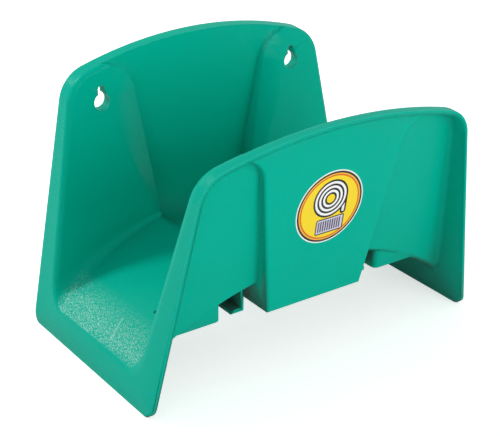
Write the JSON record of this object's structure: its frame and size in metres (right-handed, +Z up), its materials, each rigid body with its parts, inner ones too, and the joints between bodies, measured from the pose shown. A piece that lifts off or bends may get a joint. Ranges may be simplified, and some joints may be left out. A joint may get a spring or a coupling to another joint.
{
  "type": "hose hanger",
  "caption": "One-piece moulded plastic wall hanger for a coiled garden hose, with an arched saddle between a tall back plate and a lower front plate.",
  "frame": {"origin": "middle of the hanger's overall width and depth, on the plane of the bottom edges of its end bands", "axes": "+Z up, +Y towards the wall, +X to the right of a viewer who faces the wall"},
  "size_m": [0.2688, 0.1766, 0.1937],
  "materials": {
    "green_plastic": "fine spark-eroded grain, semi-matt",
    "label_film": "printed self-adhesive film, glossy"
  },
  "bodies": {
    "root": {"hanger_body": "green_plastic", "label": "label_film"}
  },
  "joints": []
}
